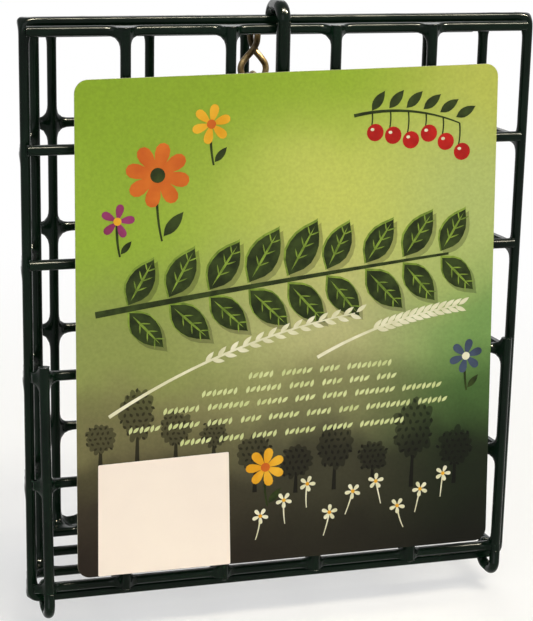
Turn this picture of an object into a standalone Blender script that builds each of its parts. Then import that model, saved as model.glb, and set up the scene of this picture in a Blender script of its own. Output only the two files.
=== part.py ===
# A wire suet feeder: a shallow cage of welded, vinyl-dipped wire that holds one cake of suet.
# A wire door is hinged along the bottom of the front rim and held at the top by a hooked wire.
# A jack chain hangs from the top of the cage, inside it, and a printed card covers the door.
#
# Frame: +Z up, the door faces -Y, and the origin is on the floor under the middle of the feeder.

import math

import bmesh
import bpy
from mathutils import Vector

MM = 0.001

# Wire and fits
WIRE = 2.5 * MM              # cage and door wire over its vinyl coat
LATCH_WIRE = 3.2 * MM        # the hooked wire, a little stouter
CHAIN_WIRE = 1.56 * MM       # bare plated wire of the chain
GAP = 0.3 * MM               # between pieces that touch
WELD = 0.2 * MM              # crossing wires of one panel sink this far into each other

# Cage, between the centre lines of its wires
RIM_WIDTH = 117.5 * MM
RIM_HEIGHT = 133.5 * MM
RIM_CORNER = 1.75 * MM
CAGE_DEPTH = 43.2 * MM       # front rim to the back's cross wires
LEFT_LEAN = 7 * MM           # how far the side walls lean in on their way to the back
RIGHT_LEAN = 4.25 * MM
SIDE_BEND = 2.75 * MM        # where the side wires turn into the back
BACK_ROWS = 6
BACK_ROW_TOP = 4.85 * MM     # top row below the rim's top rail
BACK_ROW_NEXT = 28.91 * MM   # the one below it, which starts the even rows
BACK_ROW_BOTTOM = 0.75 * MM  # bottom row above the rim's bottom rail
TOP_START = 0.2 * MM         # the top's front edge below the rim's top rail
BACK_COLUMNS = 5
BACK_COLUMN_LEFT = 12.85 * MM   # first column in from the rim's left side
BACK_COLUMN_RIGHT = 8.75 * MM   # last column in from the rim's right side
POST_SHARE = 0.388           # where the upright of each side wall stands, of the cage's depth
TOP_BAR_SHARE = 0.574        # the cross wire of the top, of the cage's depth
FLOOR_BAR_SHARES = (0.292, 0.574, 0.854)
FLOOR_COLUMNS = 4            # the floor's runners stand between the back's uprights
FLOOR_COLUMN_LEFT = 20.75 * MM
FLOOR_COLUMN_RIGHT = 24.25 * MM

# Door
DOOR_LEFT = 0.05 * MM        # cross wires' left ends in from the rim's left side
DOOR_RIGHT = 1.75 * MM       # and their right ends from its right side
DOOR_ROWS = 6
DOOR_ROW_TOP = 1.7 * MM      # top rail below the rim's
DOOR_ROW_BOTTOM = 3.3 * MM   # bottom rail above the rim's
DOOR_COLUMNS = 4
DOOR_COLUMN_LEFT = 21.25 * MM
DOOR_COLUMN_RIGHT = 25.55 * MM
HINGE_ROW_SHARE = 0.6        # the row, counted from the top, that the hinge wires start on
HINGE_TOP = 3 * MM           # and how far they stand above it
HINGE_ROOM = 0.2 * MM        # beside the side walls' lowest wires

# Latch
LATCH_X = -2.3 * MM
LATCH_TAIL_SHARE = 0.6       # the row that the latch wire ends on
LATCH_TAIL = 3 * MM          # and how far it runs below it
LATCH_DROP = 1.75 * MM       # how far its hook turns down behind the rim's top rail

# Card
CARD_LEFT = 9.4 * MM         # its corners, in from the rim's centre lines
CARD_RIGHT = 10.4 * MM
CARD_TOP = 11.55 * MM
CARD_BOTTOM = 7.2 * MM
CARD_SLANT = 2 * MM          # the right end of its top edge stands this much higher
CARD_FLARE = 3.4 * MM        # and its right edge leans out this much at the foot
CARD_CORNER = 3 * MM
CARD_THICK = 0.4 * MM

# Chain
CHAIN_X = -0.3 * MM
LINK_EYE = 3.1 * MM          # radius of a link's round ends, on the wire's centre line
LINK_NECK = 1.1 * MM         # from a link's crossing to where its round ends would close
CHAIN_REACH_SHARE = 0.82     # how far down the cage the chain hangs

# Facets
WIRE_SIDES = 8
BEND_STEPS = 4               # per quarter turn of a bent wire
EYE_STEPS = 8                # per round end of a link
CARD_STEPS = 4
SAME_PLACE = 0.001 * MM      # two points of a wire nearer than this are one

# Worked out from the sizes above
HALF_WIDTH = RIM_WIDTH / 2
HALF_HEIGHT = RIM_HEIGHT / 2
R = WIRE / 2
CROSSING = WIRE - WELD                 # between the layers of one panel
TOUCHING = WIRE + GAP                  # between the layers of two pieces
COLUMN_Y = CAGE_DEPTH - CROSSING       # the back's uprights stand in front of its rows
WALL_START = R + GAP + R * LEFT_LEAN / CAGE_DEPTH   # the leaning wires' cut ends clear the rim
COLUMN_FACE = COLUMN_Y - R - GAP       # where the top's runners end
ROW_FACE = CAGE_DEPTH - R - GAP        # where the floor's runners end
FLOOR_Z = -HALF_HEIGHT + TOUCHING      # the floor's runners, inside the rim's bottom rail
DOOR_ROW_Y = -TOUCHING
DOOR_COLUMN_Y = DOOR_ROW_Y - CROSSING
HINGE_Y = DOOR_ROW_Y - TOUCHING
HINGE_X = HALF_WIDTH - RIM_CORNER - R - HINGE_ROOM
LATCH_Y = DOOR_ROW_Y - R - GAP - LATCH_WIRE / 2
LATCH_BEND = R + GAP + LATCH_WIRE / 2
CARD_BACK_Y = LATCH_Y - LATCH_WIRE / 2 - GAP
CARD_FRONT_Y = CARD_BACK_Y - CARD_THICK
FOOT_Z = -HALF_HEIGHT - TOUCHING - R
BACK_FACE_Y = CAGE_DEPTH + R
LINK_HALF = LINK_NECK + 2 * LINK_EYE   # a link's crossing to its end
LINK_STEP = CHAIN_WIRE + GAP           # one link's end wire above its neighbour's

# The frame's origin, seen from the middle of the rim
ORIGIN = Vector((0, (CARD_FRONT_Y + BACK_FACE_Y) / 2, FOOT_Z))


def spread(first, last, count):
    return [first + (last - first) * k / (count - 1) for k in range(count)]


def material(name, colour, roughness, metallic):
    made = bpy.data.materials.new(name)
    made.use_nodes = True
    shader = made.node_tree.nodes["Principled BSDF"]
    shader.inputs["Base Color"].default_value = (*colour, 1)
    shader.inputs["Roughness"].default_value = roughness
    shader.inputs["Metallic"].default_value = metallic
    made.diffuse_color = (*colour, 1)
    return made


def bent(points, radius):
    """The points of a bent wire's centre line, with every inner corner turned to the radius."""
    path = [points[0]]
    for before, corner, after in zip(points, points[1:], points[2:]):
        into = (corner - before).normalized()
        out = (after - corner).normalized()
        turn = into.angle(out)
        reach = radius * math.tan(turn / 2)
        start = corner - into * reach
        centre = start + (out - into * into.dot(out)).normalized() * radius
        axis = into.cross(out).normalized()
        side = (start - centre).normalized()
        steps = max(1, round(BEND_STEPS * turn / math.radians(90)))
        for k in range(steps + 1):
            angle = turn * k / steps
            spoke = side * math.cos(angle) + axis.cross(side) * math.sin(angle)
            path.append(centre + spoke * radius)
    path.append(points[-1])
    return [point for point, next_point in zip(path, path[1:] + [None])
            if next_point is None or (next_point - point).length > SAME_PLACE]


def sweep(bm, path, normal, radius, closed=False):
    """A faceted round wire along a flat path, with flats square to the path's own plane."""
    count = len(path)
    rings = []
    for k, point in enumerate(path):
        into = (point - path[k - 1]).normalized() if closed or k > 0 else None
        out = (path[(k + 1) % count] - point).normalized() if closed or k < count - 1 else None
        into = into or out
        out = out or into
        across = (into + out).normalized().cross(normal)
        mitre = 1 / math.cos(into.angle(out) / 2)
        ring = []
        for side in range(WIRE_SIDES):
            angle = 2 * math.pi * (side + 0.5) / WIRE_SIDES
            reach = radius / math.cos(math.pi / WIRE_SIDES)
            offset = across * math.cos(angle) * mitre + normal * math.sin(angle)
            ring.append(bm.verts.new(point + offset * reach))
        rings.append(ring)
    pairs = list(zip(rings, rings[1:]))
    if closed:
        pairs.append((rings[-1], rings[0]))
    for near, far in pairs:
        for side in range(WIRE_SIDES):
            beside = (side + 1) % WIRE_SIDES
            bm.faces.new((near[side], near[beside], far[beside], far[side]))
    if not closed:
        bm.faces.new(rings[0][::-1])
        bm.faces.new(rings[-1])


def straight(bm, start, end, radius=R):
    start, end = Vector(start), Vector(end)
    along = (end - start).normalized()
    normal = Vector((0, 0, 1)) if abs(along.z) < 0.5 else Vector((0, 1, 0))
    sweep(bm, [start, end], normal, radius)


pivots = {}


def pivot(name, where, parent=None):
    """An empty on a joint's axis."""
    empty = bpy.data.objects.new(name, None)
    empty.empty_display_size = WIRE
    bpy.context.collection.objects.link(empty)
    pivots[empty] = Vector(where)
    attach(empty, where, parent)
    return empty


def attach(thing, where, parent):
    thing.parent = parent
    thing.location = Vector(where) - (pivots[parent] if parent else ORIGIN)


def solid(name, bm, finish, parent=None):
    """The bmesh, drawn from the middle of the rim, as an object whose origin is its pivot."""
    where = pivots[parent] if parent else Vector((0, 0, 0))
    bmesh.ops.translate(bm, verts=bm.verts, vec=-where)
    bmesh.ops.recalc_face_normals(bm, faces=bm.faces)
    mesh = bpy.data.meshes.new(name)
    bm.to_mesh(mesh)
    bm.free()
    mesh.shade_smooth()
    mesh.set_sharp_from_angle(angle=math.radians(50))
    thing = bpy.data.objects.new(name, mesh)
    bpy.context.collection.objects.link(thing)
    thing.data.materials.append(finish)
    attach(thing, where, parent)
    return thing


def welded(name, rows, columns, finish, parent=None):
    """A panel: its second set of wires is welded to the first where they cross."""
    panel = solid(name, rows, finish, parent)
    tool = solid(name + "_crossing", columns, finish, parent)
    tool.hide_render = True
    tool.display_type = "WIRE"
    union = panel.modifiers.new("Weld", "BOOLEAN")
    union.operation = "UNION"
    union.solver = "EXACT"
    union.object = tool
    return panel


def front_rim(finish):
    corner = (HALF_WIDTH, HALF_HEIGHT)
    corners = [Vector((x * corner[0], 0, z * corner[1]))
               for x, z in ((0, -1), (1, -1), (1, 1), (-1, 1), (-1, -1), (0, -1))]
    bm = bmesh.new()
    sweep(bm, bent(corners, RIM_CORNER)[:-1], Vector((0, 1, 0)), R, closed=True)
    return solid("front_rim", bm, finish)


def row_heights():
    even = spread(HALF_HEIGHT - BACK_ROW_NEXT, -HALF_HEIGHT + BACK_ROW_BOTTOM, BACK_ROWS - 1)
    return [HALF_HEIGHT - BACK_ROW_TOP, *even]


def column_places():
    return spread(-HALF_WIDTH + BACK_COLUMN_LEFT, HALF_WIDTH - BACK_COLUMN_RIGHT, BACK_COLUMNS)


def wall_place(side, y):
    """X of a side wall's wires at a depth."""
    lean = LEFT_LEAN if side < 0 else RIGHT_LEAN
    return side * (HALF_WIDTH - lean * (y - WALL_START) / (CAGE_DEPTH - WALL_START))


def top_height(y):
    """Z of the top's runners, and of the side walls' highest wires, at a depth."""
    drop = BACK_ROW_TOP - TOP_START
    return HALF_HEIGHT - TOP_START - drop * (y - WALL_START) / (CAGE_DEPTH - WALL_START)


def back_grille(finish):
    rows, columns = bmesh.new(), bmesh.new()
    left, right = (wall_place(side, CAGE_DEPTH) - side * (SIDE_BEND + GAP) for side in (-1, 1))
    heights = row_heights()
    for z in heights:
        straight(rows, (left, CAGE_DEPTH, z), (right, CAGE_DEPTH, z))
    for x in column_places():
        straight(columns, (x, COLUMN_Y, heights[-1] - R), (x, COLUMN_Y, heights[0] + R))
    return welded("back_grille", rows, columns, finish)


def side_grille(name, side, finish):
    """Six wires run back from the rim and turn into the back; one upright stands inside them."""
    rows, post = bmesh.new(), bmesh.new()
    back = wall_place(side, CAGE_DEPTH)
    heights = row_heights()
    for front_z, z in zip((top_height(WALL_START), *heights[1:]), heights):
        corners = [Vector((side * HALF_WIDTH, WALL_START, front_z)), Vector((back, CAGE_DEPTH, z)),
                   Vector((back - side * SIDE_BEND, CAGE_DEPTH, z))]
        normal = (corners[1] - corners[0]).cross(corners[2] - corners[1]).normalized()
        sweep(rows, bent(corners, SIDE_BEND), normal, R)
    post_y = POST_SHARE * CAGE_DEPTH
    post_x = wall_place(side, post_y) - side * CROSSING
    straight(post, (post_x, post_y, heights[-1] - R), (post_x, post_y, top_height(post_y) + R))
    return welded(name, rows, post, finish)


def bar(bm, y, z):
    """A cross wire of the top or the floor, between the side walls' uprights."""
    left, right = (wall_place(side, y) - side * (CROSSING + R + GAP) for side in (-1, 1))
    straight(bm, (left, y, z), (right, y, z))


def top_bar():
    """Depth and height of the top's cross wire, which lies under the runners."""
    y = TOP_BAR_SHARE * CAGE_DEPTH
    return y, top_height(y) - CROSSING


def top_grille(finish):
    """Runners slope from behind the rim's top rail to the back's uprights."""
    bars, runners = bmesh.new(), bmesh.new()
    bar(bars, *top_bar())
    end = COLUMN_FACE - R * BACK_ROW_TOP / CAGE_DEPTH
    for x in column_places():
        straight(runners, (x, WALL_START, top_height(WALL_START)), (x, end, top_height(end)))
    return welded("top_grille", runners, bars, finish)


def floor_grille(finish):
    """Level runners from the rim's bottom rail to the back's lowest cross wire."""
    bars, runners = bmesh.new(), bmesh.new()
    for share in FLOOR_BAR_SHARES:
        bar(bars, share * CAGE_DEPTH, FLOOR_Z - CROSSING)
    first, last = -HALF_WIDTH + FLOOR_COLUMN_LEFT, HALF_WIDTH - FLOOR_COLUMN_RIGHT
    for x in spread(first, last, FLOOR_COLUMNS):
        straight(runners, (x, 0, FLOOR_Z), (x, ROW_FACE, FLOOR_Z))
    return welded("floor_grille", runners, bars, finish)


def door_heights():
    return spread(HALF_HEIGHT - DOOR_ROW_TOP, -HALF_HEIGHT + DOOR_ROW_BOTTOM, DOOR_ROWS)


def door_grille(finish, parent):
    rows, columns = bmesh.new(), bmesh.new()
    heights = door_heights()
    for z in heights:
        left, right = -HALF_WIDTH + DOOR_LEFT, HALF_WIDTH - DOOR_RIGHT
        straight(rows, (left, DOOR_ROW_Y, z), (right, DOOR_ROW_Y, z))
    first, last = -HALF_WIDTH + DOOR_COLUMN_LEFT, HALF_WIDTH - DOOR_COLUMN_RIGHT
    for x in spread(first, last, DOOR_COLUMNS):
        straight(columns, (x, DOOR_COLUMN_Y, heights[-1] - R), (x, DOOR_COLUMN_Y, heights[0] + R))
    return welded("door_grille", rows, columns, finish, parent)


def hinge_wire(name, side, finish, parent):
    """Runs down the door's edge, under the rim's bottom rail and back over it as an eye."""
    x = side * HINGE_X
    row = door_heights()[round(HINGE_ROW_SHARE * (DOOR_ROWS - 1))]
    under, over = -HALF_HEIGHT - TOUCHING, -HALF_HEIGHT + TOUCHING
    corners = [Vector((x, HINGE_Y, row + HINGE_TOP)), Vector((x, HINGE_Y, under)),
               Vector((x, TOUCHING, under)), Vector((x, TOUCHING, over)), Vector((x, 0, over))]
    bm = bmesh.new()
    sweep(bm, bent(corners, TOUCHING), Vector((1, 0, 0)), R)
    return solid(name, bm, finish, parent)


def latch_wire(finish, parent):
    """Stands in front of the door's rows and hooks over the rim's top rail."""
    row = door_heights()[round(LATCH_TAIL_SHARE * (DOOR_ROWS - 1))]
    top = HALF_HEIGHT + LATCH_BEND
    points = ((LATCH_Y, row - LATCH_TAIL), (LATCH_Y, top), (LATCH_BEND, top),
              (LATCH_BEND, HALF_HEIGHT - LATCH_DROP))
    corners = [Vector((LATCH_X, y, z)) for y, z in points]
    bm = bmesh.new()
    sweep(bm, bent(corners, LATCH_BEND), Vector((1, 0, 0)), LATCH_WIRE / 2)
    return solid("latch_wire", bm, finish, parent)


def label_card(finish, parent):
    left, right = -HALF_WIDTH + CARD_LEFT, HALF_WIDTH - CARD_RIGHT
    top, bottom = HALF_HEIGHT - CARD_TOP, -HALF_HEIGHT + CARD_BOTTOM
    outline = ((left, bottom), (right + CARD_FLARE, bottom), (right, top + CARD_SLANT), (left, top))
    bm = bmesh.new()
    corners = [bm.verts.new((x, CARD_BACK_Y, z)) for x, z in outline]
    bm.faces.new(corners)
    bmesh.ops.bevel(bm, geom=corners, offset=CARD_CORNER, offset_type="OFFSET",
                    segments=CARD_STEPS, profile=0.5, affect="VERTICES", material=-1)
    sheet = bmesh.ops.extrude_face_region(bm, geom=bm.faces[:])
    moved = [item for item in sheet["geom"] if isinstance(item, bmesh.types.BMVert)]
    bmesh.ops.translate(bm, verts=moved, vec=(0, CARD_FRONT_Y - CARD_BACK_Y, 0))
    return solid("label_card", bm, finish, parent)


def eye(plane, upper):
    """Half of a link's centre line: a round end tangent to two strands from the crossing."""
    centre = LINK_HALF - LINK_EYE
    rise = math.asin(LINK_EYE / centre)
    first, last = -math.pi + -rise, rise
    points = []
    for k in range(EYE_STEPS + 1):
        angle = first + (last - first) * k / EYE_STEPS
        out = LINK_EYE * math.cos(angle)
        down = -centre + LINK_EYE * math.sin(angle)
        points.append(plane * (-out if upper else out) + Vector((0, 0, -down if upper else down)))
    return points


def jack_link(name, crossing, finish, parent):
    """A figure of eight whose two eyes stand square to each other, from one closed wire."""
    apart = (CHAIN_WIRE + GAP) / 2 / math.sqrt(2)
    strand = Vector((apart, apart, 0))
    lower_points = eye(Vector((1, 0, 0)), upper=False)
    upper_points = eye(Vector((0, -1, 0)), upper=True)
    path = [-strand, *lower_points, strand, *upper_points[::-1]]
    curve = bpy.data.curves.new(name, "CURVE")
    curve.dimensions = "3D"
    curve.bevel_depth = CHAIN_WIRE / 2
    curve.bevel_resolution = 1
    curve.materials.append(finish)
    spline = curve.splines.new("POLY")
    spline.points.add(len(path) - 1)
    where = pivots[parent]
    for point, place in zip(spline.points, path):
        point.co = (*(place + crossing - where), 1)
    spline.use_cyclic_u = True
    spline.use_smooth = True
    link = bpy.data.objects.new(name, curve)
    bpy.context.collection.objects.link(link)
    attach(link, where, parent)
    return link


def chain(finish):
    """The first link hangs on the top cross wire; the others hang straight down from it."""
    place = Vector((CHAIN_X, *top_bar()))
    hook = R + GAP + CHAIN_WIRE / 2
    crossing = place + Vector((0, 0, hook - LINK_HALF))
    parent = pivot("top_link_pivot", place)
    jack_link("chain_top_link", crossing, finish, parent)
    low = crossing - Vector((0, 0, LINK_HALF))
    pitch = 2 * LINK_HALF - LINK_STEP
    hang = low.z - (HALF_HEIGHT - RIM_HEIGHT * CHAIN_REACH_SHARE)
    for k in range(int(hang / pitch)):
        top = low + Vector((0, 0, LINK_STEP))
        crossing = top - Vector((0, 0, LINK_HALF))
        # odd links swing sideways on their own end wire, even ones to and fro on the one above
        parent = pivot(f"link_{k + 1}_pivot", low if k % 2 else top, parent)
        jack_link(f"chain_link_{k + 1}", crossing, finish, parent)
        low = crossing - Vector((0, 0, LINK_HALF))


def main():
    for thing in list(bpy.data.objects):
        bpy.data.objects.remove(thing, do_unlink=True)
    vinyl = material("green_vinyl", (0.012, 0.028, 0.018), 0.28, 0)
    plated = material("plated_steel", (0.35, 0.28, 0.16), 0.35, 1)
    board = material("printed_card", (0.16, 0.28, 0.06), 0.35, 0)

    front_rim(vinyl)
    back_grille(vinyl)
    side_grille("left_side_grille", -1, vinyl)
    side_grille("right_side_grille", 1, vinyl)
    top_grille(vinyl)
    floor_grille(vinyl)

    door = pivot("door_pivot", (0, 0, -HALF_HEIGHT))
    door_grille(vinyl, door)
    hinge_wire("hinge_wire_left", -1, vinyl, door)
    hinge_wire("hinge_wire_right", 1, vinyl, door)
    label_card(board, door)
    latch = pivot("latch_pivot", (LATCH_X, LATCH_Y, HALF_HEIGHT), door)
    latch_wire(vinyl, latch)

    chain(plated)


main()
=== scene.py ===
import math
import random

import bmesh
import bpy
from mathutils import Matrix, Vector


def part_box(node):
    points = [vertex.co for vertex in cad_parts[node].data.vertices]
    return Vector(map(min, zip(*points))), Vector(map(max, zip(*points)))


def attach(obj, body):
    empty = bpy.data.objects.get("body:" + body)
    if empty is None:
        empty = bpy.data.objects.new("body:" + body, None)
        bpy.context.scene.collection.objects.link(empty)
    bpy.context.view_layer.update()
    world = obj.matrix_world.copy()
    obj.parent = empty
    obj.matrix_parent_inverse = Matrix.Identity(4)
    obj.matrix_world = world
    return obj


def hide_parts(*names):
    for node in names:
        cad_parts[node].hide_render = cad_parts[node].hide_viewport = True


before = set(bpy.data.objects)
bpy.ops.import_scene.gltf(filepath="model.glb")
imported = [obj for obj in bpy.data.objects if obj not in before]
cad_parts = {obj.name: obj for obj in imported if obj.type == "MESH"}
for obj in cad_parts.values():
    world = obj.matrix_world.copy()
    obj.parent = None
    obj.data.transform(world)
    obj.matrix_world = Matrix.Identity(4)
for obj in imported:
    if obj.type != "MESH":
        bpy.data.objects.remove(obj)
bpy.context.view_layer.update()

mm = 0.001
xAxis, yAxis, zAxis = Vector((1, 0, 0)), Vector((0, 1, 0)), Vector((0, 0, 1))

# Every place below is in mm from the middle of the front rim, x right, y back, z up.
rimLow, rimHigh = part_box("front_rim")
rimCentre = (rimLow + rimHigh) / 2


def at(x, y, z):
    return rimCentre + Vector((x, y, z)) * mm


def evenly(first, last, count):
    return [first + (last - first) * k / (count - 1) for k in range(count)]


def newPiece(name, mesh, materials, body, nodes=()):
    mesh.name = name
    for material in materials:
        mesh.materials.append(material)
    piece = bpy.data.objects.new(name, mesh)
    bpy.context.collection.objects.link(piece)
    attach(piece, body)
    if nodes:
        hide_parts(*nodes)
    print("made", name, "with", len(mesh.polygons), "faces")


def meshFrom(bm, name):
    mesh = bpy.data.meshes.new(name)
    bm.to_mesh(mesh)
    bm.free()
    return mesh


def extrudeBy(bm, faces, shift):
    # gives the faces and the vertices of the moved end
    made = bmesh.ops.extrude_face_region(bm, geom=faces)["geom"]
    endFaces = [item for item in made if isinstance(item, bmesh.types.BMFace)]
    endVerts = [item for item in made if isinstance(item, bmesh.types.BMVert)]
    bmesh.ops.translate(bm, verts=endVerts, vec=shift)
    return endFaces, endVerts


# materials

def linear(code):
    # "#rrggbb" as the eye sees it, turned to the linear colour that the shader wants
    parts = [int(code[k:k + 2], 16) / 255 for k in (1, 3, 5)]
    return (*[p / 12.92 if p <= 0.04045 else ((p + 0.055) / 1.055) ** 2.4 for p in parts], 1)


def newMaterial(name, constants):
    # constants: {socket of the shader: value all over the surface}
    material = bpy.data.materials.new(name)
    material.use_nodes = True
    shader = material.node_tree.nodes["Principled BSDF"]
    for socket, value in constants.items():
        shader.inputs[socket].default_value = value
    return material, shader


def addNode(owner, kind, inputs=None, **settings):
    # owner: a material or the world; inputs: {socket: value, or (node, output socket)};
    # settings: the node's own properties
    node = owner.node_tree.nodes.new("ShaderNode" + kind)
    for key, value in settings.items():
        setattr(node, key, value)
    for socket, value in (inputs or {}).items():
        if isinstance(value, tuple) and isinstance(value[0], bpy.types.Node):
            feed(owner, value[0], value[1], node, socket)
        else:
            node.inputs[socket].default_value = value
    return node


def feed(owner, node, output, shader, socket):
    owner.node_tree.links.new(node.outputs[output], shader.inputs[socket])


def setStops(ramp, stops):
    # stops: (place, "#rrggbb") from first to last
    points = ramp.color_ramp.elements
    while len(points) < len(stops):
        points.new(0.5)
    for point, (place, code) in zip(points, stops):
        point.position = place
        point.color = linear(code)


def wireFinish(name, look):
    # A material with three noise patterns: of its tones, of its gloss and of its fine relief.
    material, shader = newMaterial(name, look["shader"])
    spot = addNode(material, "TexCoord")
    tones, gloss, relief = [addNode(material, "TexNoise", {
        "Vector": (spot, "Object"), "Scale": 1 / (size * mm), "Detail": detail})
        for size, detail in look["patterns"]]
    tint = addNode(material, "ValToRGB", {"Fac": (tones, "Fac")})
    setStops(tint, look["tones"])
    feed(material, tint, "Color", shader, "Base Color")
    low, high = look["roughness"]
    rough = addNode(material, "MapRange", {
        "Value": (gloss, "Fac"), "From Min": 0.3, "From Max": 0.7,
        "To Min": low, "To Max": high})
    feed(material, rough, "Result", shader, "Roughness")
    strength, depth = look["relief"]
    bump = addNode(material, "Bump", {
        "Height": (relief, "Fac"), "Strength": strength, "Distance": depth * mm})
    feed(material, bump, "Normal", shader, "Normal")
    return material


# wire

wire = {
    "sides": 14,                          # of a wire that goes through the bath
    "bendStep": 10, "bendSteps": 2,       # degrees to a step, and the fewest steps of a bend
    "evenPasses": 5, "levelPasses": 6,    # smoothing of the bath's skin, before and after
}


def layWire(bm, start, heading, moves, radius, sides=wire["sides"]):
    # Bends a round wire as on a jig. A number is a straight run in mm, and a tuple
    # (degrees, axis, bend radius in mm) is a bend about that axis.
    way, place = Vector(heading).normalized(), at(*start)
    turn = way.to_track_quat("Z", "Y").to_matrix().to_4x4()
    ring = bmesh.ops.create_circle(bm, cap_ends=True, segments=sides, radius=radius * mm,
                                   matrix=Matrix.Translation(place) @ turn)
    face = ring["verts"][0].link_faces[0]
    for move in moves:
        if isinstance(move, tuple):
            degrees, axis, bend = move
            angle = math.radians(degrees)
            steps = max(wire["bendSteps"], round(degrees / wire["bendStep"]))
            centre = place + axis.cross(way) * bend * mm
            made = bmesh.ops.spin(bm, geom=[face], cent=centre, axis=axis, angle=angle,
                                  steps=steps)["geom_last"]
            face = next(item for item in made if isinstance(item, bmesh.types.BMFace))
            rotate = Matrix.Rotation(angle, 3, axis)
            place = centre + rotate @ (place - centre)
            way = rotate @ way
        else:
            face = extrudeBy(bm, [face], way * move * mm)[0][0]
            place = place + way * move * mm


def dipped(bm, bath):
    # Welded wires go through one vinyl bath, which runs together where they cross. The wires
    # are laid too thick by the pool, made one skin, smoothed, and drawn in by the pool.
    bmesh.ops.recalc_face_normals(bm, faces=bm.faces)
    wet = bpy.data.objects.new("wet", meshFrom(bm, "wet"))
    bpy.context.collection.objects.link(wet)
    skin = wet.modifiers.new("Skin", "REMESH")
    skin.mode = "VOXEL"
    skin.voxel_size = bath["voxel"] * mm
    even = wet.modifiers.new("Even", "SMOOTH")
    even.iterations = wire["evenPasses"]
    drawIn = wet.modifiers.new("DrawIn", "DISPLACE")
    drawIn.mid_level = 0
    drawIn.strength = -bath["pool"] * mm
    level = wet.modifiers.new("Level", "SMOOTH")
    level.iterations = wire["levelPasses"]
    bpy.context.view_layer.update()
    dry = wet.evaluated_get(bpy.context.evaluated_depsgraph_get())
    mesh = bpy.data.meshes.new_from_object(dry)
    bpy.data.objects.remove(wet, do_unlink=True)
    mesh.shade_smooth()
    return mesh


def roundTips(bm, radius, steps):
    # the vinyl closes over each cut end, which is the only face with more than four corners
    tips = [edge for edge in bm.edges if any(len(face.verts) > 4 for face in edge.link_faces)]
    bmesh.ops.bevel(bm, geom=tips, offset=radius * mm, segments=steps, profile=0.5,
                    affect="EDGES", material=-1)


# Plastisol: soft PVC that the welded wire is dipped in and baked. It flows out glossy and very
# dark green, with a faint orange peel that breaks the highlights.
vinyl = wireFinish("dippedPlastisol", {
    "shader": {"IOR": 1.5, "Specular IOR Level": 0.09},   # low, or the studio greys it
    "patterns": ((14, 3), (5, 4), (1.6, 1)),   # size in mm and detail of each
    "tones": ((0.3, "#051009"), (0.7, "#0b1d12")),
    "roughness": (0.1, 0.2),
    "relief": (0.12, 0.05),               # its strength, and its depth in mm
})

# cage

cage = {
    "wire": 2.5, "halfWidth": 58.75, "halfHeight": 66.75, "rimCorner": 1.75, "depth": 43.2,
    "rimLap": 0.2,                        # of the rim's two ends
    "crossing": 2.3,                      # between the layers of one panel
    "start": 1.75,                        # depth from which the side walls and the top lean in
    "leftLean": 7, "rightLean": 4.25, "topStart": 66.55, "topDrop": 4.65,
    "sideBend": 2.75,                     # where the side wires turn into the back
    "rowNext": 37.84, "rowBottom": -66.0, "evenRows": 5,   # rows below the top one
    "columnLeft": -45.9, "columnRight": 50.0, "columns": 5,
    "runnerLeft": -38.0, "runnerRight": 34.5, "runners": 4,   # of the floor
    "floor": -63.95,                      # height of its runners, inside the rim's bottom rail
    "topBars": (24.8,), "floorBars": (12.6, 24.8, 36.9),   # depths of the cross wires
    "post": 16.76,                        # depth of each side wall's upright
    "pool": 1.15, "voxel": 0.8,           # the bath: see dipped
    "shrink": 0.08,                       # what the smoothing takes off a wire's radius
}


def inward(y):
    # share of the lean that a side wall or the top has at a depth
    return (y - cage["start"]) / (cage["depth"] - cage["start"])


def leftWall(y):
    return cage["leftLean"] * inward(y) - cage["halfWidth"]


def rightWall(y):
    return cage["halfWidth"] - cage["rightLean"] * inward(y)


def topHeight(y):
    return cage["topStart"] - cage["topDrop"] * inward(y)


def layRow(bm, frontHeight, height, radius):
    # one wire from the rim along the left wall, across the back and out along the right wall
    depth, bend = cage["depth"], cage["sideBend"]
    left, right = leftWall(depth), rightWall(depth)
    start = Vector((leftWall(0), 0, frontHeight))
    end = Vector((rightWall(0), 0, frontHeight))
    into, out = Vector((left, depth, height)) - start, end - Vector((right, depth, height))
    axis = into.cross(xAxis).normalized()
    turns = [math.degrees(into.angle(xAxis)), math.degrees(xAxis.angle(out))]
    reach = [bend * math.tan(math.radians(turn / 2)) for turn in turns]
    layWire(bm, start, into, (into.length - reach[0], (turns[0], axis, bend),
                              right - left - reach[0] - reach[1], (turns[1], axis, bend),
                              out.length - reach[1]), radius)


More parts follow.
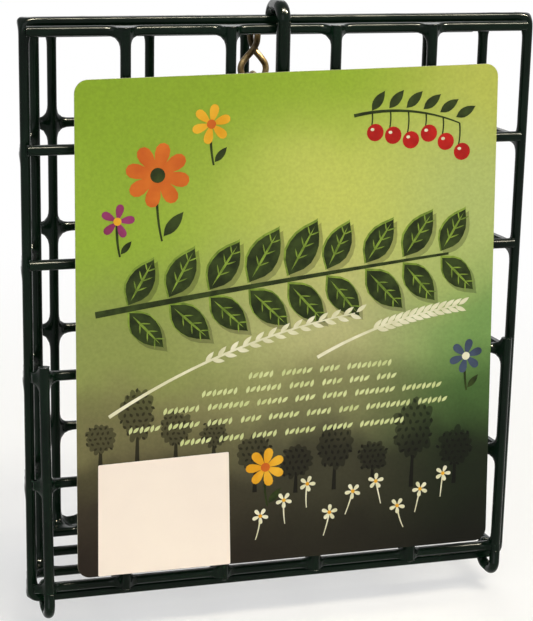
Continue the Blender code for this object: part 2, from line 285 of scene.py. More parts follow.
def makeCage():
    c = cage
    radius = c["wire"] / 2 + c["pool"] + c["shrink"]
    wide, high = c["halfWidth"], c["halfHeight"]
    bm = bmesh.new()
    across, up = 2 * (wide - c["rimCorner"]), 2 * (high - c["rimCorner"])
    corner = (90, -yAxis, c["rimCorner"])
    layWire(bm, (0, 0, -high), xAxis, (across / 2, corner, up, corner, across, corner, up, corner,
                                       across / 2 + c["rimLap"]), radius)
    layRow(bm, topHeight(0), topHeight(c["depth"]), radius)
    for z in evenly(c["rowNext"], c["rowBottom"], c["evenRows"]):
        layRow(bm, z, z, radius)
    end = (c["wire"] + c["pool"]) / 2     # uprights stand this far past the end rows
    inBack, post = c["depth"] - c["crossing"], c["post"]
    columns = evenly(c["columnLeft"], c["columnRight"], c["columns"])
    uprights = [(x, inBack, topHeight(c["depth"])) for x in columns]
    uprights += [(leftWall(post) + c["crossing"], post, topHeight(post)),
                 (rightWall(post) - c["crossing"], post, topHeight(post))]
    for x, y, z in uprights:
        layWire(bm, (x, y, c["rowBottom"] - end), zAxis, (z - c["rowBottom"] + 2 * end,), radius)
    slope = Vector((0, inBack, topHeight(inBack) - topHeight(0)))
    for x in columns:
        layWire(bm, (x, 0, topHeight(0)), slope, (slope.length,), radius)
    for x in evenly(c["runnerLeft"], c["runnerRight"], c["runners"]):
        layWire(bm, (x, 0, c["floor"]), yAxis, (c["depth"] + c["pool"],), radius)
    bars = [(y, topHeight(y)) for y in c["topBars"]] + [(y, c["floor"]) for y in c["floorBars"]]
    for y, z in bars:
        left, right = leftWall(y), rightWall(y)
        layWire(bm, (left, y, z - c["crossing"]), xAxis, (right - left,), radius)
    newPiece("cageWires", dipped(bm, c), (vinyl,), "cage",
             ("front_rim", "back_grille", "left_side_grille", "right_side_grille",
              "top_grille", "floor_grille"))


makeCage()

# door

door = {
    "rowTop": 65.05, "rowBottom": -63.45, "rows": 6, "rowDepth": -2.8,
    "left": -58.7, "right": 57.0,
    "columnLeft": -37.5, "columnRight": 33.2, "columnDepth": -5.1,
    "leans": (0, 0, 0.75, 0),             # how far each upright's top leans right
    "hinge": 55.55, "hingeDepth": -5.6, "hingeTop": -9.05,
    "hingeLeans": (-0.6, 0),
    "curl": 2,                            # above the rim's rail, where a hinge wire starts to curl
    "eye": 2.8, "eyeSides": 24, "eyeOverlap": 3,
    "tip": 0.5, "tipSteps": 3,
    "pool": 1.15, "voxel": 0.62, "shrink": 0.05,
}


def makeDoor():
    d = door
    radius = cage["wire"] / 2 + d["pool"] + d["shrink"]
    bm = bmesh.new()
    for z in evenly(d["rowTop"], d["rowBottom"], d["rows"]):
        layWire(bm, (d["left"] - d["pool"], d["rowDepth"], z), xAxis,
                (d["right"] - d["left"] + 2 * d["pool"],), radius)
    end = (cage["wire"] + d["pool"]) / 2
    tall = d["rowTop"] - d["rowBottom"] + 2 * end
    for x, lean in zip(evenly(d["columnLeft"], d["columnRight"], len(d["leans"])), d["leans"]):
        layWire(bm, (x - lean, d["columnDepth"], d["rowBottom"] - end),
                (2 * lean, 0, tall), (tall,), radius)
    foot = d["curl"] - cage["halfHeight"]
    for x, lean in zip((-d["hinge"], d["hinge"]), d["hingeLeans"]):
        layWire(bm, (x, d["hingeDepth"], foot), (lean, 0, d["hingeTop"] - foot),
                (d["hingeTop"] + d["pool"] - foot,), radius)
    mesh = dipped(bm, d)
    # The eyes that turn on the rim's rail are too tight for the bath's pool, so they are laid
    # at their own size and overlap the dipped wires.
    bm = bmesh.new()
    bm.from_mesh(mesh)
    eyes = bmesh.new()
    for x in (-d["hinge"], d["hinge"]):
        layWire(eyes, (x, d["hingeDepth"], foot + d["eyeOverlap"]), -zAxis,
                (d["eyeOverlap"] + d["curl"], (90, xAxis, d["eye"]), d["eye"],
                 (180, xAxis, d["eye"])), cage["wire"] / 2, d["eyeSides"])
    bmesh.ops.recalc_face_normals(eyes, faces=eyes.faces)
    roundTips(eyes, d["tip"], d["tipSteps"])
    for face in eyes.faces:
        face.smooth = True
    bm.from_mesh(meshFrom(eyes, "eyes"))
    newPiece("doorWires", meshFrom(bm, "doorWires"), (vinyl,), "door",
             ("door_grille", "hinge_wire_left", "hinge_wire_right"))


makeDoor()

# latch

latch = {
    "wire": 3.2, "sides": 28, "place": -2.3, "depth": -5.95,
    "tail": -15.05,                       # height of its lower end
    "bend": 3.15, "drop": 1.75,           # how far the hook turns down behind the rim
    "tip": 0.9, "tipSteps": 5,            # rounding of its ends
    "merge": 0.01,                        # mm between joined points
}


def makeLatch():
    h = latch
    over = (90, -xAxis, h["bend"])
    bm = bmesh.new()
    layWire(bm, (h["place"], h["depth"], h["tail"]), zAxis,
            (cage["halfHeight"] - h["tail"], over, -h["depth"] - h["bend"], over, h["drop"]),
            h["wire"] / 2, h["sides"])
    bmesh.ops.remove_doubles(bm, verts=bm.verts, dist=h["merge"] * mm)
    bmesh.ops.recalc_face_normals(bm, faces=bm.faces)
    roundTips(bm, h["tip"], h["tipSteps"])
    mesh = meshFrom(bm, "latchWire")
    mesh.shade_smooth()
    newPiece("latchWire", mesh, (vinyl,), "latch", ("latch_wire",))


makeLatch()

# Steel wire with a thin yellow plating: a dull brassy metal, browner where the plating has
# worn and oxidised, and finely pitted.
plated = wireFinish("yellowPlatedSteel", {
    "shader": {"Metallic": 1},
    "patterns": ((2.5, 4), (2.5, 4), (0.5, 2)),   # the worn patches are the dullest
    "tones": ((0.32, "#282012"), (0.5, "#453a28"), (0.7, "#655841")),
    "roughness": (0.55, 0.36),
    "relief": (0.3, 0.03),
})

# chain

chain = {
    "wire": 1.56, "gap": 0.3,             # between one link's wire and its neighbour's
    "half": 7.3, "eye": 3.1,              # a link's crossing to its end, and its eyes' radius
    "place": -0.3, "bar": (24.8, 61.65),  # depth and height of the bar that it hangs on
    "links": 7,                           # below the first
    "cut": 0.35,                          # between the wire's two ends at the crossing
    "eyeSteps": 10, "curveSteps": 6,      # points of an eye, and steps between two points
    "roundSteps": 5, "merge": 0.001,      # steps round the wire, and mm between joined points
    "sharp": 50,                          # degrees from which an edge is shaded sharp
}


def linkPath():
    # One wire bent to a figure of eight, its eyes square to each other. Its ends meet at the
    # crossing, so the path starts and stops there.
    c = chain
    centre = c["half"] - c["eye"]
    rise = math.asin(c["eye"] / centre)
    angles = evenly(rise, -math.pi - rise, c["eyeSteps"])
    eye = [(c["eye"] * math.cos(a), c["eye"] * math.sin(a) - centre) for a in angles]
    lower = [Vector((out, 0, down)) for out, down in eye]
    upper = [Vector((0, -out, -down)) for out, down in eye]
    apart = (c["wire"] + c["gap"]) / 2 / math.sqrt(2)
    meet = Vector((apart, apart, 0))
    stop = zAxis * c["cut"] / 2
    return [meet - stop, *lower, -meet, *upper, meet + stop]


def makeLink(name, crossing, body, node):
    c = chain
    curve = bpy.data.curves.new(name, "CURVE")
    curve.dimensions = "3D"
    curve.bevel_depth = c["wire"] / 2 * mm
    curve.bevel_resolution = c["roundSteps"]
    curve.resolution_u = c["curveSteps"]
    curve.use_fill_caps = True
    spline = curve.splines.new("BEZIER")
    path = linkPath()
    spline.bezier_points.add(len(path) - 1)
    for point, place in zip(spline.bezier_points, path):
        point.co = crossing + place * mm
        point.handle_left_type = point.handle_right_type = "AUTO"
    bent = bpy.data.objects.new(name, curve)
    bpy.context.collection.objects.link(bent)
    bpy.context.view_layer.update()
    done = bent.evaluated_get(bpy.context.evaluated_depsgraph_get())
    mesh = bpy.data.meshes.new_from_object(done)
    bpy.data.objects.remove(bent, do_unlink=True)
    bm = bmesh.new()
    bm.from_mesh(mesh)
    bmesh.ops.remove_doubles(bm, verts=bm.verts, dist=c["merge"] * mm)
    bmesh.ops.recalc_face_normals(bm, faces=bm.faces)
    bm.to_mesh(mesh)
    bm.free()
    mesh.shade_smooth()
    mesh.set_sharp_from_angle(angle=math.radians(c["sharp"]))
    newPiece(name, mesh, (plated,), body, (node,))


def makeChain():
    c = chain
    depth, height = c["bar"]
    hook = (cage["wire"] + c["wire"]) / 2 + c["gap"]
    crossing = height + hook - c["half"]
    makeLink("chainTopLink", at(c["place"], depth, crossing), "top_link", "chain_top_link")
    for k in range(1, c["links"] + 1):
        crossing += c["wire"] + c["gap"] - 2 * c["half"]
        makeLink(f"chainLink{k}", at(c["place"], depth, crossing), f"link_{k}", f"chain_link_{k}")


makeChain()

# card: a coated board in front of the latch wire, with its print in thin layers

card = {
    "left": -49.35, "bottomRight": 51.75, "topRight": 48.35,
    "bottom": -59.55, "topLeft": 55.2, "topRightHeight": 57.2,
    "back": -7.85, "thick": 0.3,
    "corner": 3, "cornerSteps": 8, "crush": 0.06, "crushSteps": 2,
    "layer": 0.014, "root": -0.5,         # of the print, and the level that it starts from
}


def cardFront(level):
    return card["back"] - card["thick"] - level * card["layer"]


# offset print under a thin aqueous coat: a low even sheen
printCoat = {"Roughness": 0.42, "Specular IOR Level": 0.075}
picture = {
    # colours from the card's foot to its top, in a strip on the left, the middle and the right
    "strips": (
        ((0, "#342a22"), (0.17, "#4a4132"), (0.3, "#7d7950"), (0.45, "#89944f"),
         (0.7, "#8fac36"), (1, "#85a32a")),
        ((0, "#302d21"), (0.2, "#54533d"), (0.37, "#8f8f60"), (0.5, "#b5b47c"),
         (0.75, "#c1c861"), (1, "#91ad32")),
        ((0, "#14160d"), (0.17, "#202c18"), (0.33, "#4c6d37"), (0.47, "#749752"),
         (0.7, "#aebc6e"), (1, "#b5bc54"))),
    "foot": -60, "top": 57,
    "blends": ((-38, 14), (10, 46)),      # from x to x, left to middle and middle to right
    "cloud": 26, "drift": 6,              # size of the clouds, and how far they lift the colours
    # width, height, swing, softness and share of light of the far hills and the near ones
    "hills": ((40, -17, 11, 5, 0.8), (24, -33, 9, 3, 0.62)),
    "mottle": 0.7, "mottleLight": (0.9, 1.02),
}
mixFirst, mixSecond, mixed = 6, 7, 2      # the colour sockets of a Mix node


def pictureColour(material, keep):
    # The picture behind the motifs: yellow-green haze above, dusk below, greener on the right,
    # with a pale glow and two ranges of soft hills. keep is the share of light that an ink leaves.
    p = picture
    spot = addNode(material, "TexCoord")
    local = addNode(material, "Mapping", {
        "Vector": (spot, "Object"), "Location": -rimCentre / mm, "Scale": (1 / mm,) * 3})
    cloud = addNode(material, "TexNoise", {
        "Vector": (local, "Vector"), "Scale": 1 / p["cloud"], "Detail": 3})
    axes = addNode(material, "SeparateXYZ", {"Vector": (local, "Vector")})
    drift = addNode(material, "MapRange", {
        "Value": (cloud, "Fac"), "From Min": 0.25, "From Max": 0.75,
        "To Min": -p["drift"], "To Max": p["drift"]})
    height = addNode(material, "Math", {0: (axes, "Z"), 1: (drift, "Result")}, operation="ADD")
    rise = addNode(material, "MapRange", {
        "Value": (height, "Value"), "From Min": p["foot"], "From Max": p["top"]})
    strips = []
    for stops in p["strips"]:
        strip = addNode(material, "ValToRGB", {"Fac": (rise, "Result")})
        strip.color_ramp.interpolation = "EASE"
        setStops(strip, stops)
        strips.append(strip)
    sideways = [addNode(material, "MapRange", {
        "Value": (axes, "X"), "From Min": low, "From Max": high},
        interpolation_type="SMOOTHSTEP") for low, high in p["blends"]]
    leftMix = addNode(material, "Mix", {
        "Factor": (sideways[0], "Result"), mixFirst: (strips[0], "Color"),
        mixSecond: (strips[1], "Color")}, data_type="RGBA")
    colour = addNode(material, "Mix", {
        "Factor": (sideways[1], "Result"), mixFirst: (leftMix, mixed),
        mixSecond: (strips[2], "Color")}, data_type="RGBA")
    for width, base, swing, soft, light in p["hills"]:
        wave = addNode(material, "TexNoise", {
            "W": (axes, "X"), "Scale": 1 / width, "Detail": 2}, noise_dimensions="1D")
        ridge = addNode(material, "MapRange", {
            "Value": (wave, "Fac"), "From Min": 0.25, "From Max": 0.75,
            "To Min": base - swing, "To Max": base + swing})
        under = addNode(material, "Math", {
            0: (ridge, "Result"), 1: (axes, "Z")}, operation="SUBTRACT")
        fog = addNode(material, "MapRange", {
            "Value": (under, "Value"), "From Min": -soft, "From Max": soft,
            "To Min": 1, "To Max": light}, interpolation_type="SMOOTHSTEP")
        colour = addNode(material, "Mix", {
            "Factor": 1, mixFirst: (colour, mixed), mixSecond: (fog, "Result")},
            data_type="RGBA", blend_type="MULTIPLY")
    # Halftone and paper are too fine to show in the render, so their mottle is drawn coarser.
    mottle = addNode(material, "TexNoise", {
        "Vector": (local, "Vector"), "Scale": 1 / p["mottle"], "Detail": 2})
    darkest, lightest = p["mottleLight"]
    speck = addNode(material, "MapRange", {
        "Value": (mottle, "Fac"), "From Min": 0.3, "From Max": 0.7,
        "To Min": darkest * keep, "To Max": lightest * keep})
    return addNode(material, "Mix", {
        "Factor": 1, mixFirst: (colour, mixed), mixSecond: (speck, "Result")},
        data_type="RGBA", blend_type="MULTIPLY")


def pictureInk(name, keep):
    material, shader = newMaterial(name, printCoat)
    feed(material, pictureColour(material, keep), mixed, shader, "Base Color")
    return material


def plainInk(name, dark, light, size):
    # one printed colour whose tone drifts between dark and light over size mm
    material, shader = newMaterial(name, printCoat)
    spot = addNode(material, "TexCoord")
    drift = addNode(material, "TexNoise", {
        "Vector": (spot, "Object"), "Scale": 1 / (size * mm), "Detail": 3})
    tone = addNode(material, "ValToRGB", {"Fac": (drift, "Fac")})
    setStops(tone, ((0.35, dark), (0.65, light)))
    feed(material, tone, "Color", shader, "Base Color")
    return material


# Inks of an offset print on coated board: flat colours that drift a little, as ink lies a
# little thicker or thinner. Those of the trees and shadows are see-through over the picture.
pictureFace = pictureInk("printedPicture", 1)
farTreeInk = pictureInk("farTreeInk", 0.42)
nearTreeInk = pictureInk("nearTreeInk", 0.16)
boardPulp = plainInk("greyBoardPulp", "#a8a490", "#cfcbb6", 0.4)   # recycled, flecked with fibre
leafInk = plainInk("darkLeafInk", "#1c260c", "#33421a", 3)
veinInk = plainInk("leafVeinInk", "#5d7427", "#86a03a", 2)
shadowInk = pictureInk("leafShadowInk", 0.6)
creamInk = plainInk("creamInk", "#d2d0aa", "#e6e3c8", 4)
seedInk = plainInk("seedInk", "#bfc88a", "#cfd69c", 4)
goldInk = plainInk("goldInk", "#d99a1c", "#e6b032", 5)
orangeInk = plainInk("orangeInk", "#c05a1e", "#cf6c24", 5)
redInk = plainInk("redInk", "#9c1010", "#bb1c16", 5)
plumInk = plainInk("plumInk", "#7d2a52", "#93386a", 5)
slateInk = plainInk("slateInk", "#2f394c", "#414d64", 5)
panelInk = plainInk("panelInk", "#f0e3d7", "#f4e8db", 20)


def makeBoard():
    c = card
    bm = bmesh.new()
    outline = ((c["left"], c["bottom"]), (c["bottomRight"], c["bottom"]),
               (c["topRight"], c["topRightHeight"]), (c["left"], c["topLeft"]))
    corners = [bm.verts.new(at(x, cardFront(0), z)) for x, z in outline]
    bm.faces.new(corners)
    bmesh.ops.bevel(bm, geom=corners, offset=c["corner"] * mm, offset_type="OFFSET",
                    segments=c["cornerSteps"], profile=0.5, affect="VERTICES", material=-1)
    extrudeBy(bm, bm.faces[:], yAxis * c["thick"] * mm)
    bmesh.ops.recalc_face_normals(bm, faces=bm.faces)
    for face in bm.faces:
        face.material_index = 0 if round(face.normal.y) == -1 else 1   # only the front is printed
    # die-cut edges are a little crushed
    rim = [edge for edge in bm.edges if len({round(f.normal.y) for f in edge.link_faces}) > 1]
    bmesh.ops.bevel(bm, geom=rim, offset=c["crush"] * mm, segments=c["crushSteps"], profile=0.5,
                    affect="EDGES", material=-1)
    newPiece("cardBoard", meshFrom(bm, "cardBoard"), (pictureFace, boardPulp), "door",
             ("label_card",))


makeBoard()


def onPrint(x, z):
    # a point of the print, drawn in the plane y = 0 until thicken brings it to the card
    return Vector((rimCentre.x + x * mm, 0, rimCentre.z + z * mm))


def beyond(x, z, angle, reach):
    # the point reach mm away, where an angle of 0 points up and 90 to the right
    turn = math.radians(angle)
    return x + math.sin(turn) * reach, z + math.cos(turn) * reach


# How many layers of print each motif stands up to. Motifs that overlap differ.
levels = {
    "shadow": 1, "trunk": 1, "edge": 2, "crown": 2, "twig": 2, "leaf": 3, "berry": 3,
    "vein": 4, "glint": 4, "stem": 4, "panel": 4, "grass": 5, "petal": 5, "leaflet": 6,
    "heart": 7,
}


def thicken(bm, faces, level, ink):
    # turns flat shapes into ink that stands on the card up to a level
    for face in faces:
        face.material_index = ink
    root = cardFront(card["root"])
    verts = extrudeBy(bm, faces, yAxis * (cardFront(level) - root) * mm)[1]
    verts = {vert for face in faces if face.is_valid for vert in face.verts} | set(verts)
    bmesh.ops.translate(bm, verts=list(verts), vec=yAxis * (root * mm + rimCentre.y))


shapes = {
    "steps": {"leaf": 20, "petal": 14, "disc": 18, "lumpy": 72},   # round each kind's outline
    "leafPoint": 3, "leafBelly": 0.35,    # how blunt a leaf is, and how much wider below
    "petalFoot": 0.65, "petalSpread": 0.7,
    "lumps": 15, "lump": (0.8, 1.05), "dip": 0.16,   # of a crown, and the dips between them
}


def flatShape(bm, kind, centre, size, angle, level, ink, lumpSeed=0):
    # centre and size in mm; angle in degrees, 0 points up
    s = shapes
    verts = bmesh.ops.create_circle(bm, cap_ends=True, segments=s["steps"][kind], radius=0.5,
                                    matrix=Matrix.Rotation(math.radians(90), 4, "X"))["verts"]
    rng = random.Random(lumpSeed)
    lumps = [rng.uniform(*s["lump"]) for k in range(s["lumps"])]
    for vert in verts:
        if kind == "leaf":       # pointed at both ends, widest below the middle
            vert.co.x *= ((1 - abs(2 * vert.co.z) ** s["leafPoint"])
                          * (1 - s["leafBelly"] * vert.co.z))
        elif kind == "petal":    # narrow at the foot
            vert.co.x *= s["petalFoot"] + s["petalSpread"] * vert.co.z
        elif kind == "lumpy":    # clumps of foliage round a crown
            turn = (math.atan2(vert.co.z, vert.co.x) / (2 * math.pi)) % 1 * len(lumps)
            lump = lumps[int(turn) % len(lumps)]
            vert.co *= lump * (1 - s["dip"] + s["dip"] * abs(math.sin(turn % 1 * math.pi)))
    turn = Matrix.Rotation(math.radians(angle), 4, "Y")
    scale = Matrix.Diagonal((size[0] * mm, 1, size[1] * mm, 1))
    bmesh.ops.transform(bm, verts=verts,
                        matrix=Matrix.Translation(onPrint(*centre)) @ turn @ scale)
    thicken(bm, [verts[0].link_faces[0]], level, ink)


def stalk(bm, foot, heading, length, bend, width, taper, steps, level, ink):
    # A curved stem: a short edge spun along an arc that turns by bend degrees, which can't be 0,
    # then narrowed towards its tip to the taper's share of its width. Gives the x, z and
    # heading of each step.
    turn = math.radians(heading)
    side = Vector((math.cos(turn), 0, -math.sin(turn)))
    start = onPrint(*foot)
    angle = math.radians(bend)
    centre = start + side * (length * mm / angle)
    first = [bm.verts.new(start + side * width * mm * k) for k in (-0.5, 0.5)]
    edge = bm.edges.new(first)
    before = set(bm.faces)
    bmesh.ops.spin(bm, geom=[edge, *first], cent=centre, axis=yAxis, angle=angle, steps=steps)
    faces = [face for face in bm.faces if face not in before]
    pairs = [first]
    for face in faces:
        pairs.append([v for v in face.verts if v not in pairs[-1]])
    path = []
    for k, pair in enumerate(pairs):
        middle = (pair[0].co + pair[1].co) / 2
        bmesh.ops.scale(bm, verts=pair, vec=Vector((1, 1, 1)) * (1 - (1 - taper) * k / steps),
                        space=Matrix.Translation(-middle))
        path.append(((middle.x - rimCentre.x) / mm, (middle.z - rimCentre.z) / mm,
                     heading + bend * k / steps))
    thicken(bm, faces, level, ink)
    return path


def finishPrint(name, bm, inks):
    bmesh.ops.recalc_face_normals(bm, faces=bm.faces)
    newPiece(name, meshFrom(bm, name), inks, "door")


trees = {
    # foot x, foot z, height and crown width of each
    "places": ((-44, -33, 11, 7.5), (-35.5, -33, 19, 9), (-26.5, -33, 13, 8), (-17.5, -33, 10, 7),
               (-7.5, -42, 15, 9), (2.5, -43, 12, 9), (12, -43, 17, 9.5), (21.5, -43, 12, 8.5),
               (31.5, -44, 23, 11), (42.5, -44, 15, 9.5)),
    "trunk": 0.6, "trunkBend": 2, "trunkWidth": 1.1, "trunkTaper": 0.4, "trunkSteps": 6,
    "crown": 0.64, "crownHeight": 0.72,   # shares of the height
    "leafStep": 0.16, "leaf": (0.07, 0.13),   # shares of the crown's width
    "rows": range(-5, 6), "columns": range(-3, 4),
    "edge": (0.75, 0.98),                 # share of the crown at which the leaves stop
    "jitter": 0.1, "leafTurn": 70, "rngSeed": 5,
}


def makeTrees():
    # dusky trees: a trunk, a crown and the leaves that stand out from it
    t = trees
    far, near = 0, 1
    bm = bmesh.new()
    rng = random.Random(t["rngSeed"])
    for k, (x, z, tall, wide) in enumerate(t["places"]):
        stalk(bm, (x, z), 0, tall * t["trunk"], t["trunkBend"], t["trunkWidth"], t["trunkTaper"],
              t["trunkSteps"], levels["trunk"], near)
        crown, high = z + tall * t["crown"], tall * t["crownHeight"]
        flatShape(bm, "lumpy", (x, crown), (wide, high), 0, levels["crown"], far, k)
        step, jitter = t["leafStep"] * wide, t["jitter"]
        leafSize = [share * wide for share in t["leaf"]]
        for row in t["rows"]:
            for column in t["columns"]:
                across = (column + row % 2 / 2) * step + rng.uniform(-jitter, jitter)
                rise = row * step + rng.uniform(-jitter, jitter)
                if math.hypot(2 * across / wide, 2 * rise / high) < rng.uniform(*t["edge"]):
                    turn = rng.uniform(-t["leafTurn"], t["leafTurn"])
                    flatShape(bm, "leaf", (x + across, crown + rise), leafSize, turn,
                              levels["leaf"], near)
    finishPrint("cardTrees", bm, (farTreeInk, nearTreeInk))


panel = {"corners": ((-44.6, -59.45), (-13.1, -59.45), (-13.9, -31.5), (-44.5, -32.3)),
         "round": 0.3, "roundSteps": 3}


def makePanel():
    # a bare pale panel low on the left
    bm = bmesh.new()
    corners = [bm.verts.new(onPrint(x, z)) for x, z in panel["corners"]]
    bm.faces.new(corners)
    bmesh.ops.bevel(bm, geom=corners, offset=panel["round"] * mm, offset_type="OFFSET",
                    segments=panel["roundSteps"], profile=0.5, affect="VERTICES", material=-1)
    thicken(bm, bm.faces[:], levels["panel"], 0)
    finishPrint("cardPanel", bm, (panelInk,))


garland = {
    "foot": (-45, 3), "heading": 82, "length": 84, "bend": 2, "width": 1.5, "taper": 0.4,
    "steps": 36, "pairs": range(3, 36, 4),   # steps of the stem that carry two leaves
    "leaf": (7.2, 14.5), "splay": (50, 58),
    "sizes": (0.92, 1.06), "fullest": 0.45, "loss": 0.2,   # leaves shrink away from the fullest
    "offset": 0.55,                       # a leaf's middle from the stem, of its length
    # to the right, up, share of the size, level and ink: its shadow, its lit edge and its face
    "layers": ((0.7, -0.8, 1, "shadow", 2), (-0.2, 0.25, 1, "edge", 1), (0, 0, 0.94, "leaf", 0)),
    "vein": (0.55, 0.78),                 # width in mm, and length as a share of the leaf's
    # side veins: size, places along the leaf from its middle, lean and reach
    "rib": (0.32, 2.6), "ribs": (-0.18, 0.02, 0.22), "ribLean": 42, "ribReach": 1.3,
    "rngSeed": 7,
}


def makeGarland():
    # the large dark spray across the middle
    g = garland
    stem, vein = 0, 1
    bm = bmesh.new()
    rng = random.Random(g["rngSeed"])
    path = stalk(bm, g["foot"], g["heading"], g["length"], g["bend"], g["width"], g["taper"],
                 g["steps"], levels["leaf"], stem)
    for k in g["pairs"]:
        x, z, way = path[k]
        for side in (-1, 1):
            angle = way + side * rng.uniform(*g["splay"])
            size = rng.uniform(*g["sizes"]) * (1 - g["loss"] * abs(k / g["steps"] - g["fullest"]))
            wide, long = (size * part for part in g["leaf"])
            cx, cz = beyond(x, z, angle, long * g["offset"])
            for across, up, share, level, ink in g["layers"]:
                flatShape(bm, "leaf", (cx + across, cz + up), (wide * share, long * share),
                          angle, levels[level], ink)
            flatShape(bm, "leaf", (cx, cz), (g["vein"][0], long * g["vein"][1]), angle,
                      levels["vein"], vein)
            for rib in g["ribs"]:
                for lean in (-g["ribLean"], g["ribLean"]):
                    root = beyond(cx, cz, angle, long * rib)
                    middle = beyond(*root, angle + lean, g["ribReach"])
                    flatShape(bm, "leaf", middle, g["rib"], angle + lean, levels["vein"], vein)
    finishPrint("cardGarland", bm, (leafInk, veinInk, shadowInk))


grasses = {
    # foot x, foot z, heading, length and bend of the two that lean across under the spray
    "blades": ((-42, -21, 58, 62, 24), (7, -10, 62, 36, 22)),
    "width": 0.8, "taper": 0.35, "steps": 40,
    "bare": 16,                           # steps of a blade without leaflets
    "leaflet": (1, 3), "leafletTurn": 28, "leafletReach": 1.9,
    # small seeds in rising rows of short runs: first x, last x and height of each row
    "rows": ((-9, 22, -13.4), (-20, 26, -17), (-29, 33, -20.6), (-37, 37, -24.6),
             (-25, 24, -28.4)),
    "rise": 0.03, "seed": (0.75, 1.9), "seedTurns": (20, 48), "seedStep": 1.25,
    "run": (4, 9), "runGap": 1.7, "rngSeed": 4,
}


def makeGrasses():
    g = grasses
    blade, seed = 0, 1
    bm = bmesh.new()
    for x, z, way, long, bend in g["blades"]:
        path = stalk(bm, (x, z), way, long, bend, g["width"], g["taper"], g["steps"],
                     levels["grass"], blade)
        for k, (px, pz, heading) in enumerate(path):
            if k >= g["bare"]:
                angle = heading + (g["leafletTurn"] if k % 2 else -g["leafletTurn"])
                flatShape(bm, "leaf", beyond(px, pz, angle, g["leafletReach"]), g["leaflet"],
                          angle, levels["leaflet"], blade)
    rng = random.Random(g["rngSeed"])
    for first, last, z in g["rows"]:
        x = first
        while x < last:
            for k in range(rng.randint(*g["run"])):
                height = z + (x - first) * g["rise"]
                flatShape(bm, "leaf", (x, height), g["seed"], g["seedTurns"][k % 2],
                          levels["grass"], seed)
                x += g["seedStep"]
            x += g["runGap"]
    finishPrint("cardGrasses", bm, (creamInk, seedInk))


bloomInks = (leafInk, redInk, goldInk, orangeInk, plumInk, slateInk, creamInk)
leaf, red, gold, orange, plum, slate, cream = range(len(bloomInks))
blooms = {
    # A stem's numbers are its heading, length, bend, width, taper and steps. Those that vary
    # are left out of its row.
    "twigFoot": (14, 46), "twig": (78, 26, 34, 0.8, 0.4, 12),
    "berries": range(2, 13, 2),           # steps of the twig that carry a berry
    "berryHeading": 170, "berryDrop": 3, "berryStem": (20, 0.4, 0.8, 5),
    # to the right of the stalk's end, up, size, level and ink of the berry and its glint
    "berry": ((0.9, -1.6, (4, 4), "berry", red), (0.2, -0.9, (0.9, 0.7), "glint", cream)),
    "berryLeaf": (2.2, 5.4), "berryLeafPlace": (1.4, 2.6), "berryLeafTurn": -50,
    # x, z, size, petals, ink and ink of the heart
    "flowers": ((-31, 34, 13, 8, orange, leaf), (-19, 45, 8, 6, gold, orange),
                (-5, -36, 8.5, 7, gold, orange), (44, -12, 7.5, 6, slate, cream),
                (-40, 24, 7, 5, plum, gold)),
    # shares of a flower's size, apart from the turns, the heading and the stem's other numbers
    "petalReach": 0.3, "petal": (0.36, 0.52), "heart": (0.26, 0.26), "petalTurn": 12,
    "heading": 185, "stemLength": 1.15, "stem": (-18, 0.7, 0.6, 8),
    "leafPlace": (0.28, -0.85), "leafSize": (0.2, 0.55), "leafTurn": 40,
    # small flowers in a row that rises and falls
    "small": 9, "smallSize": 3.6, "smallPetals": 5, "smallFirst": (-6, -48), "smallStep": 5.7,
    "smallRise": 3.4, "smallJitter": 0.8, "smallHeading": 180, "smallLean": 15,
    "smallBend": 20, "smallLength": 6, "smallStem": (0.4, 0.5, 6), "smallTurns": (0, 70),
    "rngSeed": 11,
}


def bloom(bm, x, z, size, petals, ink, heart, turn):
    b = blooms
    petal, middle = ([share * size for share in b[part]] for part in ("petal", "heart"))
    for k in range(petals):
        angle = turn + 360 * k / petals
        flatShape(bm, "petal", beyond(x, z, angle, size * b["petalReach"]), petal, angle,
                  levels["petal"] + k % 2, ink)
    flatShape(bm, "disc", (x, z), middle, 0, levels["heart"], heart)


def makeBlooms():
    b = blooms
    bm = bmesh.new()
    # berries on a twig at the upper right, each with a stalk, a glint and a leaf above
    twig = stalk(bm, b["twigFoot"], *b["twig"], levels["twig"], leaf)
    for k, step in enumerate(b["berries"]):
        px, pz, way = twig[step]
        drop = b["berryDrop"] + k % 3
        stalk(bm, (px, pz), b["berryHeading"], drop, *b["berryStem"], levels["twig"], leaf)
        for across, up, size, level, ink in b["berry"]:
            flatShape(bm, "disc", (px + across, pz - drop + up), size, 0, levels[level], ink)
        across, up = b["berryLeafPlace"]
        flatShape(bm, "leaf", (px + across, pz + up), b["berryLeaf"], way + b["berryLeafTurn"],
                  levels["leaf"], leaf)
    for x, z, size, petals, ink, heart in b["flowers"]:
        stalk(bm, (x, z), b["heading"], size * b["stemLength"], *b["stem"], levels["stem"], leaf)
        across, up = [share * size for share in b["leafPlace"]]
        leafSize = [share * size for share in b["leafSize"]]
        flatShape(bm, "leaf", (x + across, z + up), leafSize, b["leafTurn"], levels["leaf"], leaf)
        bloom(bm, x, z, size, petals, ink, heart, b["petalTurn"])
    # small white flowers in the dusk at the foot
    rng = random.Random(b["rngSeed"])
    first, low = b["smallFirst"]
    jitter, lean, bend = b["smallJitter"], b["smallLean"], b["smallBend"]
    for k in range(b["small"]):
        x = first + k * b["smallStep"]
        z = low + (k % 3) * b["smallRise"] + rng.uniform(-jitter, jitter)
        stalk(bm, (x, z), b["smallHeading"] + rng.uniform(-lean, lean), b["smallLength"],
              rng.uniform(-bend, bend), *b["smallStem"], levels["stem"], cream)
        bloom(bm, x, z, b["smallSize"], b["smallPetals"], cream, gold,
              rng.uniform(*b["smallTurns"]))
    finishPrint("cardBlooms", bm, bloomInks)


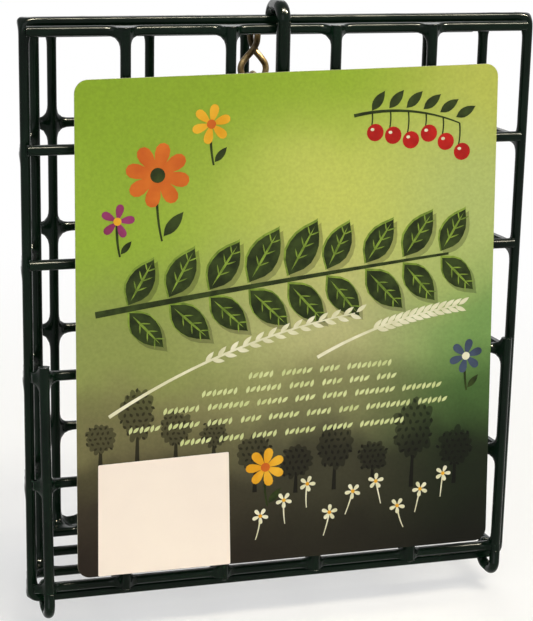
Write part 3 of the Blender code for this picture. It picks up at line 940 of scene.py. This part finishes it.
makeTrees()
makePanel()
makeGarland()
makeGrasses()
makeBlooms()

# camera, light and floor

camera = {
    "place": (-116.89, -383.61, 108.26),
    "right": (0.96006, -0.27904, 0.02034), "up": (0.05432, 0.25719, 0.96483),
    "lens": 103.39,                       # focal length in mm
    "nearest": 0.01,                      # distance in m from which things are drawn
}


def makeCamera():
    eye = bpy.data.objects.new("camera", bpy.data.cameras.new("camera"))
    bpy.context.collection.objects.link(eye)
    eye.data.lens = camera["lens"]
    eye.data.clip_start = camera["nearest"]
    right, up = Vector(camera["right"]).normalized(), Vector(camera["up"])
    up = (up - right * up.dot(right)).normalized()
    turn = Matrix((right, up, right.cross(up))).transposed().to_4x4()
    eye.matrix_world = Matrix.Translation(at(*camera["place"])) @ turn
    bpy.context.scene.camera = eye


makeCamera()
print("set the camera")

lamps = {
    # place, length and width in m, power in W. The key is a long box overhead, laid from left to
    # right. The line lamp in the same place is seen by glossy surfaces alone: it draws the thin
    # line of light along each cross wire.
    "keyLamp": ((0.36, -0.5, 1.12), 0.6, 0.3, 7, "#fff8ee"),
    "lineLamp": ((0.36, -0.5, 1.12), 1.4, 0.14, 420, "#fff6d8"),
    "fillLamp": ((-0.5, -0.9, 0.45), 0.7, 0.7, 3.3, "#fbfaff"),
    "backLamp": ((0.2, 0.8, 0.7), 0.5, 0.5, 2.5, "#ffffff"),
}
for name, (place, length, width, power, colour) in lamps.items():
    lamp = bpy.data.objects.new(name, bpy.data.lights.new(name, "AREA"))
    lamp.data.shape = "RECTANGLE"
    lamp.data.size, lamp.data.size_y = length, width
    lamp.data.energy = power
    lamp.data.color = linear(colour)[:3]
    lamp.visible_diffuse = name != "lineLamp"
    bpy.context.collection.objects.link(lamp)
    back = (Vector(place) - rimCentre).normalized()
    side = (xAxis - back * back.x).normalized()
    turn = Matrix((side, back.cross(side), back)).transposed().to_4x4()
    lamp.matrix_world = Matrix.Translation(place) @ turn
print("set", len(lamps), "lamps")

studio = {
    "ambient": 0.29,                      # strength of the light from all round
    "paper": "#ececea", "paperRadius": 3, "paperSides": 64,   # radius in m
    # The feeder hangs just above the paper, so that the door can open until it lies level.
    "drop": 4.3,
    "near": (0.08, 0.55), "far": (0.4, 1),   # distance in m, and the share of plain white there
}
white = (1, 1, 1, 1)


def whiteToEye(owner, lit, plain, share=None):
    # camera, glossy and transmission rays see the plain white, as far as share says
    rays = addNode(owner, "LightPath")
    seen = addNode(owner, "Math", {
        0: (rays, "Is Camera Ray"), 1: (rays, "Is Glossy Ray")}, operation="MAXIMUM")
    seen = addNode(owner, "Math", {
        0: (seen, "Value"), 1: (rays, "Is Transmission Ray")}, operation="MAXIMUM")
    if share is not None:
        seen = addNode(owner, "Math", {
            0: (seen, "Value"), 1: (share, "Result")}, operation="MULTIPLY")
    return addNode(owner, "MixShader", {"Fac": (seen, "Value"), 1: (lit, 0), 2: (plain, 0)})


world = bpy.data.worlds.new("studio")
bpy.context.scene.world = world
world.use_nodes = True
light = world.node_tree.nodes["Background"]
light.inputs["Color"].default_value = white
light.inputs["Strength"].default_value = studio["ambient"]
plain = addNode(world, "Background", {"Color": white})
feed(world, whiteToEye(world, light, plain), "Shader",
     world.node_tree.nodes["World Output"], "Surface")

# The floor is matt white paper. Near the feeder it shows the light and shadow that fall on it,
# and farther out it goes over to the white of the background.
paper, paperShader = newMaterial("studioPaper", {
    "Base Color": linear(studio["paper"]), "Roughness": 0.9, "Specular IOR Level": 0.3})
spot = addNode(paper, "TexCoord")
away = addNode(paper, "VectorMath", {0: (spot, "Object")}, operation="LENGTH")
(nearest, nearWhite), (farthest, farWhite) = studio["near"], studio["far"]
share = addNode(paper, "MapRange", {
    "Value": (away, "Value"), "From Min": nearest, "From Max": farthest,
    "To Min": nearWhite, "To Max": farWhite}, interpolation_type="SMOOTHSTEP")
glow = addNode(paper, "Emission", {"Color": white, "Strength": 1.0})
feed(paper, whiteToEye(paper, paperShader, glow, share), "Shader",
     paper.node_tree.nodes["Material Output"], "Surface")

bm = bmesh.new()
bmesh.ops.create_circle(bm, cap_ends=True, segments=studio["paperSides"],
                        radius=studio["paperRadius"],
                        matrix=Matrix.Translation((0, 0, -studio["drop"] * mm)))
floor = bpy.data.objects.new("floor", meshFrom(bm, "floor"))
bpy.context.collection.objects.link(floor)
floor.data.materials.append(paper)
print("laid the paper")

bpy.context.scene.view_settings.view_transform = "Standard"
